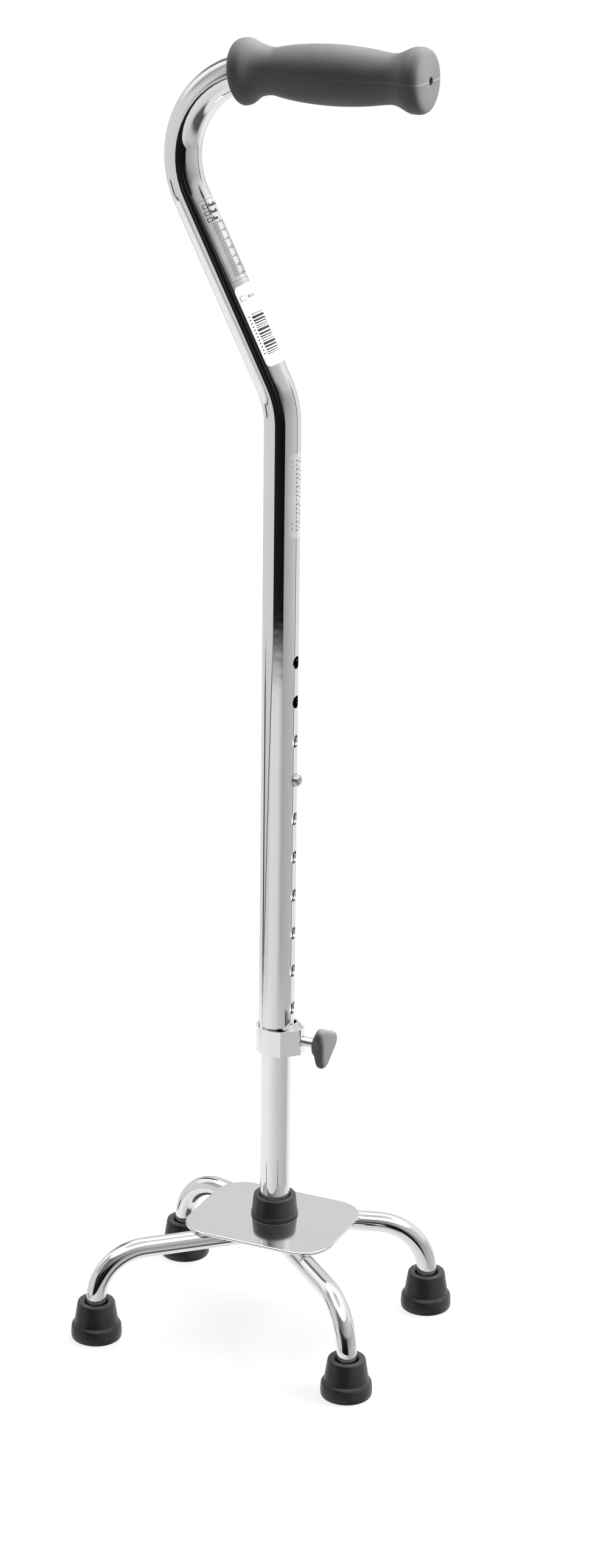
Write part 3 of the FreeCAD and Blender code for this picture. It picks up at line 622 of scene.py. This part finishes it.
def film(name, wrap, width, length, corner, material, stands_for):
    """A thin sheet with rounded corners, wrapped round the tube."""
    work = bmesh.new()
    columns, steps = 36, 12
    edges = []
    for column in range(columns + 1):
        share = column / columns
        u = 0.5 * width * math.sin(math.pi * (share - 0.5))
        inset = max(0.0, abs(u) - (width / 2 - corner))
        trim = corner - math.sqrt(max(0.0, corner ** 2 - inset ** 2))
        edges.append([
            work.verts.new(wrap.point(u, trim + (length - 2 * trim) * step / steps))
            for step in range(steps + 1)
        ])
    for left, right in zip(edges, edges[1:]):
        for low in range(steps):
            work.faces.new((left[low], right[low], right[low + 1], left[low + 1]))
    mesh = bpy.data.meshes.new(name)
    work.to_mesh(mesh)
    work.free()
    piece = mesh_piece(name, mesh, "handle", material)
    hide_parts(stands_for)
    thicken(piece, FILM_THICK)


def marks(name, wrap, boxes, body_slot, material):
    """Printed bars on a sheet. Boxes are (u, v, width, height)."""
    work = bmesh.new()
    for u, v, width, height in boxes:
        columns = max(1, int(width / MARK_STEP))
        sides = []
        for c in range(columns + 1):
            side = u + width * c / columns
            sides.append([work.verts.new(wrap.point(side, end)) for end in (v, v + height)])
        for (a, b), (c, d) in zip(sides, sides[1:]):
            work.faces.new((a, c, d, b))
    mesh = bpy.data.meshes.new(name)
    work.to_mesh(mesh)
    work.free()
    thicken(mesh_piece(name, mesh, "handle", material), INK_THICK)


def box_line(u, v, width, height, line):
    """The four sides of a printed frame, as boxes."""
    return [(u, v, width, line), (u, v + height - line, width, line),
            (u, v, line, height), (u + width - line, v, line, height)]


def numerals(name, wrap, entries, height):
    """Plain numbers printed on a sheet. Entries are (text, u, v)."""
    work = bmesh.new()
    for text, u, v in entries:
        curve = bpy.data.curves.new("number", "FONT")
        curve.body = text
        curve.size = height
        curve.align_x = "CENTER"
        curve.align_y = "CENTER"
        curve.resolution_u = 3
        carrier = bpy.data.objects.new("number", curve)
        bpy.context.scene.collection.objects.link(carrier)
        flat = evaluated_mesh(carrier)
        corners = []
        for vertex in flat.vertices:
            corners.append(work.verts.new(wrap.point(u + vertex.co.x, v + vertex.co.y)))
        for polygon in flat.polygons:
            work.faces.new([corners[i] for i in polygon.vertices])
        bpy.data.objects.remove(carrier)
        bpy.data.curves.remove(curve)
        bpy.data.meshes.remove(flat)
    mesh = bpy.data.meshes.new(name)
    work.to_mesh(mesh)
    work.free()
    thicken(mesh_piece(name, mesh, "handle", ink), INK_THICK)


def make_scale_sticker():
    """Clear sticker: a frame line, fine ticks, plain numbers, and empty boxes with dashes."""
    wrap = Wrap(SCALE_START, True, FILM_LIFT)
    film("scale_film", wrap, 24 * MM, 53 * MM, 2 * MM, clear_film, "scale_label")
    over = Wrap(SCALE_START, True, INK_LIFT)
    boxes = box_line(-11.2 * MM, 1 * MM, 22.4 * MM, 51 * MM, 0.22 * MM)
    for step in range(31):
        reach = 5.6 if step % 5 == 0 else 3.6
        v = (4 + step * 1.1) * MM
        boxes.append((-7.6 * MM, v, reach * MM, 0.34 * MM))
        boxes.append((1.2 * MM, v, reach * 0.8 * MM, 0.34 * MM))
    for row, (left, wide) in enumerate(((-9.6, 5.2), (-9.6, 8.0), (-9.2, 11.5))):
        boxes += box_line(left * MM, (38.6 + 4.1 * row) * MM, 3.6 * MM, 2.6 * MM, 0.4 * MM)
        for dash in range(int(wide / 1.4)):
            tall = 1.4 + 0.8 * (dash * 5 % 3 == 0)
            boxes.append(((left + 4.4 + 1.4 * dash) * MM, (38.9 + 4.1 * row) * MM,
                          0.85 * MM, tall * MM))
    marks("scale_ticks", over, boxes, "label_clear", ink)
    numbers = [(str(29 + row), -0.6 * MM, (4.2 + 5.5 * row) * MM) for row in range(7)]
    numerals("scale_numbers", over, numbers, 2.3 * MM)


def make_stock_sticker():
    """White sticker: plain bars of uneven thickness, a small frame and a row of dots."""
    wrap = Wrap(STOCK_START, True, FILM_LIFT)
    film("stock_film", wrap, 24 * MM, 50.5 * MM, 3 * MM, white_film, "stock_label")
    over = Wrap(STOCK_START, True, INK_LIFT)
    boxes = []
    v = 7.0
    step = 0
    while v < 33:
        thick = (0.6, 1.3, 0.7, 1.7, 0.9)[step * 7 % 5]
        boxes.append((-8.4 * MM, v * MM, 12.4 * MM, thick * MM))
        v += thick + (0.5, 0.8, 0.6)[step * 5 % 3]
        step += 1
    boxes += [(-10.4 * MM, (8 + 2.1 * dot) * MM, 0.9 * MM, 0.8 * MM) for dot in range(12)]
    boxes += box_line(-10.6 * MM, 41.5 * MM, 4.4 * MM, 3.0 * MM, 0.35 * MM)
    boxes += [((-5.2 + 1.7 * dash) * MM, 41.9 * MM, 1.1 * MM, 2.0 * MM) for dash in range(5)]
    marks("stock_bars", over, boxes, "label_white", ink)


def make_care_sticker():
    """Frosted sticker with faint rows of small marks."""
    wrap = Wrap(CARE_START, False, FILM_LIFT)
    film("care_film", wrap, 19.5 * MM, 52 * MM, 2.5 * MM, frost_film,
         "care_label")
    over = Wrap(CARE_START, False, INK_LIFT)
    boxes = []
    for row in range(17):
        wide = (2.4, 1.2, 3.0, 1.8)[row * 3 % 4]
        boxes.append((-3.2 * MM, (4 + 2.7 * row) * MM, wide * MM, 0.7 * MM))
        boxes.append((1.0 * MM, (5 + 2.7 * row) * MM, (3.6 - wide) * MM, 0.7 * MM))
    boxes += [(-6.4 * MM, v * MM, 0.6 * MM, 0.6 * MM) for v in (5.5, 9.0, 44.0, 47.0)]
    marks("care_marks", over, boxes, "label_frosted", faint_ink)


make_scale_sticker()
make_stock_sticker()
make_care_sticker()


# ---------------------------------------------------------------- studio

# On the floor plan, the camera stands towards (NEAR_X, -NEAR_Y) from the cane.
NEAR_X, NEAR_Y = 0.4092, 0.9125

# Walls of the studio, as (degrees round from the camera's side, brightness). From just below level,
# the low, floor and steep rings follow one another downwards, and rise and high upwards.
LEVEL_RING = [
    (-180, 0.42), (-168, 0.50), (-155, 0.66), (-50, 0.63), (-47, 0.012), (16, 0.004), (20, 0.36),
    (60, 0.47), (101, 0.60), (104, 0.16), (108, 0.16), (111, 0.76), (150, 0.74), (180, 0.45),
]
LOW_RING = [
    (-180, 0.50), (-155, 0.70), (-118, 0.72), (-113, 0.06), (-104, 0.05), (-99, 0.60),
    (-70, 0.60), (-52, 0.72), (-10, 0.70), (8, 0.55), (20, 0.40), (60, 0.45), (97, 0.52),
    (100, 0.14), (103, 0.14), (106, 0.80), (150, 0.80), (180, 0.50),
]
FLOOR_RING = [
    (-180, 0.92), (-60, 0.84), (0, 0.62), (60, 0.50), (85, 0.46), (115, 0.85), (150, 0.98),
    (180, 0.85),
]
RISE_RING = [
    (-180, 0.64), (-172, 0.64), (-167, 0.44), (-160, 0.44), (-154, 0.68), (-62, 0.66),
    (-56, 0.012), (-37, 0.010), (-34, 0.16), (-30, 0.010), (-12, 0.006), (-9, 0.10), (-6, 0.006),
    (4, 0.006), (18, 0.16), (40, 0.34), (80, 0.46), (100, 0.60), (104, 0.12), (108, 0.12),
    (112, 0.80), (150, 0.70), (168, 0.66), (180, 0.64),
]
HIGH_RING = [
    (-180, 0.69), (-164, 0.69), (-156, 0.10), (-146, 0.08), (-138, 1.0), (-112, 0.90),
    (-100, 0.34), (-70, 0.55), (-56, 0.18), (-30, 0.14), (-8, 0.28), (30, 0.48), (80, 0.60),
    (100, 0.85), (140, 0.90), (160, 0.70), (180, 0.69),
]
STEEP_RING = [
    (-180, 0.85), (-60, 0.78), (-5, 0.62), (8, 0.10), (70, 0.08), (85, 0.50), (115, 0.90),
    (180, 0.85),
]
NADIR, LAMP_BAND, ZENITH = 0.80, 2.2, 0.66


def drifting_line(g, turn, height):
    """A thin dark line across the low wall, which drifts round as it goes up."""
    degrees_round = g.math("MULTIPLY", turn, 180 / math.pi)
    line_at = g.math("MULTIPLY_ADD", height, 10.5, 139.4)
    off_line = g.math("ABSOLUTE", g.math("SUBTRACT", degrees_round, line_at))
    return g.math("MULTIPLY", g.spread(off_line, 4.5, 2.0), g.spread(height, -17.2, -18.6))


def make_world():
    """A studio that only the metal sees. Matt surfaces get a plain fill, the camera plain white."""
    world = bpy.data.worlds.new("studio")
    bpy.context.scene.world = world
    world.use_nodes = True
    g = Graph(world.node_tree)
    direction = g.add("ShaderNodeTexCoord").outputs["Generated"]
    x, y, z = g.add("ShaderNodeSeparateXYZ", {"Vector": direction}).outputs
    right = g.math("ADD", g.math("MULTIPLY", x, NEAR_Y), g.math("MULTIPLY", y, NEAR_X))
    near = g.math("SUBTRACT", g.math("MULTIPLY", x, NEAR_X), g.math("MULTIPLY", y, NEAR_Y))
    turn = g.math("ARCTAN2", right, near)
    around = g.math("ADD", g.math("DIVIDE", turn, 2 * math.pi), 0.5)
    height = g.math("MULTIPLY", g.math("ARCSINE", z), 180 / math.pi)

    def ring(stops):
        return g.ramp(around, [((degrees + 180) / 360, level) for degrees, level in stops])

    light = g.mix_colour(g.spread(height, -17.4, -18.8), ring(LEVEL_RING), ring(LOW_RING))
    light = g.mix_colour(drifting_line(g, turn, height), light, grey(0.05))
    light = g.mix_colour(g.spread(height, -22.3, -24.3), light, ring(FLOOR_RING))
    light = g.mix_colour(g.spread(height, -30, -42), light, ring(STEEP_RING))
    light = g.mix_colour(g.spread(height, -56, -63), light, grey(NADIR))
    light = g.mix_colour(g.spread(height, -12, 10), light, ring(RISE_RING))
    light = g.mix_colour(g.spread(height, 9, 20), light, ring(HIGH_RING))
    light = g.mix_colour(g.spread(height, 42, 54), light, grey(LAMP_BAND))
    light = g.mix_colour(g.spread(height, 66, 74), light, grey(ZENITH))
    path = g.add("ShaderNodeLightPath")
    fill = g.mix_colour(g.spread(z, -0.3, -0.9), grey(0.22), grey(0.50))
    light = g.mix_colour(path.outputs["Is Diffuse Ray"], light, fill)
    colour = g.mix_colour(path.outputs["Is Camera Ray"], light, grey(0.97))
    background = g.add("ShaderNodeBackground", {"Color": colour, "Strength": 1.0})
    output = g.add("ShaderNodeOutputWorld")
    g.put(output.inputs["Surface"], background.outputs[0])


def add_light(data, place, aim):
    """Lights only the matt surfaces: the world is what the metal reflects."""
    light = bpy.data.objects.new(data.name, data)
    light.location = place
    light.rotation_mode = "QUATERNION"
    light.rotation_quaternion = (Vector(aim) - Vector(place)).to_track_quat("-Z", "Y")
    light.visible_glossy = False
    bpy.context.scene.collection.objects.link(light)


def make_lights():
    overhead = bpy.data.lights.new("overhead", "SUN")
    overhead.energy = 8.8
    overhead.angle = math.radians(44)
    add_light(overhead, (-0.61, 1.37, 2.6), (0, 0, 0))
    side = bpy.data.lights.new("right_side", "AREA")
    side.shape = "SQUARE"
    side.size = 1.2
    side.energy = 155
    add_light(side, (1.6, 0.7, 1.6), (0, 0, 0.7))


def make_floor():
    """Paper that glows, so that the shadow stays faint. It can be seen through from beneath."""
    work = bmesh.new()
    bmesh.ops.create_grid(work, x_segments=8, y_segments=8, size=14)
    mesh = bpy.data.meshes.new("floor")
    work.to_mesh(mesh)
    work.free()
    material, g, shader, coords = new_material("floor_paper")
    output = material.node_tree.nodes["Material Output"]
    beneath = g.add("ShaderNodeNewGeometry").outputs["Backfacing"]
    clear = g.add("ShaderNodeBsdfTransparent")
    seen = g.add("ShaderNodeMixShader", {0: beneath, 1: shader.outputs[0], 2: clear.outputs[0]})
    g.put(output.inputs["Surface"], seen.outputs[0])
    paper = g.mix_colour(g.noise(coords, 3, 2), grey(0.060), grey(0.064))
    g.put(shader.inputs["Base Color"], paper)
    g.put(shader.inputs["Emission Color"],
          g.mix_colour(g.noise(coords, 3, 2), grey(0.98), grey(1.0)))
    shader.inputs["Emission Strength"].default_value = 0.84
    shader.inputs["Roughness"].default_value = 0.9
    shader.inputs["Specular IOR Level"].default_value = 0.1
    mesh.materials.append(material)
    floor = bpy.data.objects.new("floor", mesh)
    floor.visible_glossy = False
    floor.visible_diffuse = False
    bpy.context.scene.collection.objects.link(floor)


def make_camera():
    place = Vector((0.8905, -1.9398, 1.1439))
    aim = Vector((-0.0518, 0.1611, 0.3067))
    data = bpy.data.cameras.new("camera")
    data.sensor_width = 36
    data.lens = 85.37
    data.clip_start = 0.05
    data.clip_end = 60
    camera = bpy.data.objects.new("camera", data)
    camera.location = place
    camera.rotation_mode = "QUATERNION"
    roll = Quaternion((0, 0, 1), math.radians(0.694))
    camera.rotation_quaternion = (aim - place).to_track_quat("-Z", "Y") @ roll
    bpy.context.scene.collection.objects.link(camera)
    bpy.context.scene.camera = camera


make_world()
make_lights()
make_floor()
make_camera()
bpy.context.scene.view_settings.view_transform = "Standard"
